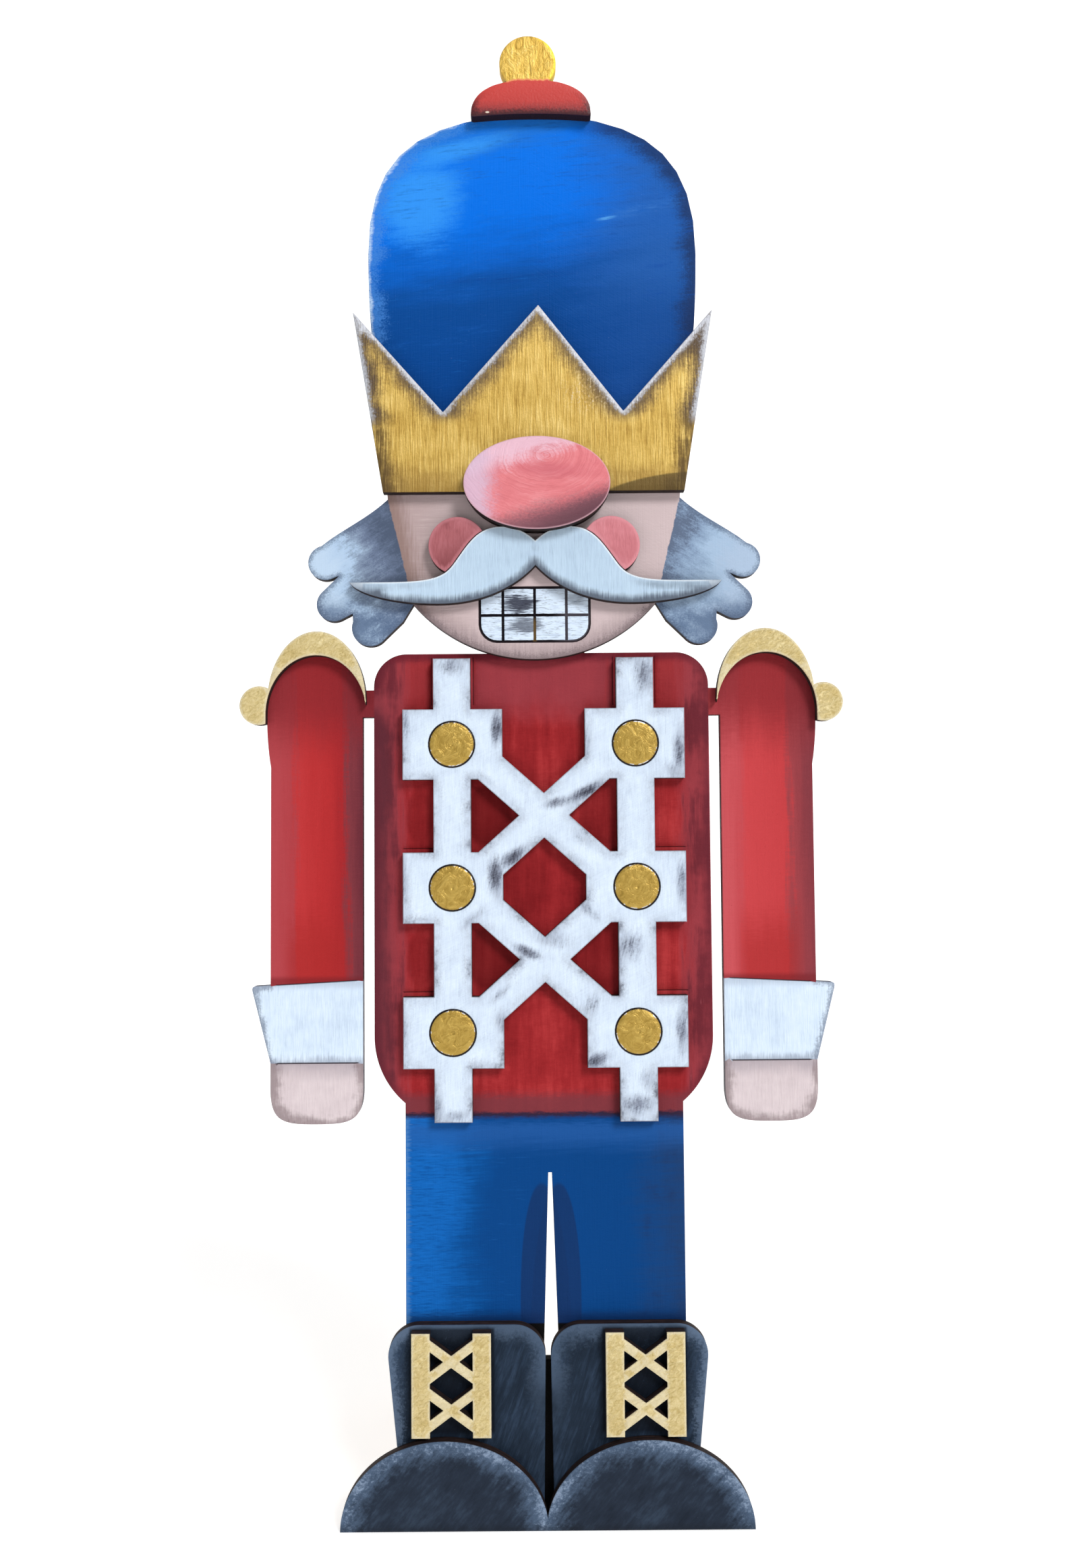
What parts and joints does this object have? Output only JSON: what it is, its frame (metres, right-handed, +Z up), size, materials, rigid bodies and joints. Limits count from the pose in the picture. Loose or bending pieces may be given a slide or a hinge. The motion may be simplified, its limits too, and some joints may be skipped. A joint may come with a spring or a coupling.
{
  "type": "nutcracker figure",
  "caption": "Flat nutcracker soldier built up in layers of painted plywood, with a hinged easel leg behind.",
  "frame": {"origin": "on the floor, in the middle of the underside of the body panel's thickness, midway between its legs", "axes": "+Z up along the figure's height, -Y out of the painted front, +X to the right as seen from the front"},
  "size_m": [0.3094, 0.1849, 0.7576],
  "materials": {
    "body_paint": "hand-painted birch plywood, satin red jacket, blue trousers, white cuffs and pale hands",
    "head_paint": "hand-painted birch plywood, satin blue hat, pale face, white teeth and blue-grey hair",
    "strap_paint": "hand-painted birch plywood, satin white with dark dry-brushed edges and gold buttons",
    "hair_paint": "hand-painted birch plywood, satin grey-white",
    "gold_paint": "metallic gold paint on birch plywood",
    "finial_paint": "metallic gold ball and satin red brim on birch plywood",
    "pink_paint": "hand-painted birch plywood, satin pink",
    "dark_paint": "burnt and stained plywood edge",
    "boot_paint": "hand-painted birch plywood, satin charcoal with grey-blue dry brushing",
    "pine": "planed pine, unpainted",
    "zinc_steel": "zinc-plated steel"
  },
  "bodies": {
    "figure": {"body_panel": "body_paint", "head_panel": "head_paint", "lattice": "strap_paint", "epaulette_left": "gold_paint", "epaulette_right": "gold_paint", "boot_left": "boot_paint", "boot_right": "boot_paint", "crown": "gold_paint", "hat_finial": "finial_paint", "moustache": "hair_paint", "cheek_left": "pink_paint", "cheek_right": "pink_paint", "nose_block": "dark_paint", "nose": "pink_paint", "toe_caps": "boot_paint", "lace_left": "gold_paint", "lace_right": "gold_paint", "spine": "pine", "spine_screw_1": "zinc_steel", "spine_screw_2": "zinc_steel", "spine_screw_3": "zinc_steel", "spine_screw_4": "zinc_steel", "hinge_leaf_fixed": "zinc_steel", "hinge_pin": "zinc_steel", "hinge_screw_1": "zinc_steel", "hinge_screw_2": "zinc_steel"},
    "easel": {"stand_leg": "pine", "hinge_leaf_moving": "zinc_steel", "hinge_screw_3": "zinc_steel", "hinge_screw_4": "zinc_steel"}
  },
  "joints": [
    {"name": "easel_hinge", "type": "hinge", "parent": "figure", "child": "easel", "pos_m": [0, 0.0179, 0.4], "axis": [1, 0, 0], "range_deg": [-18, 0]}
  ]
}
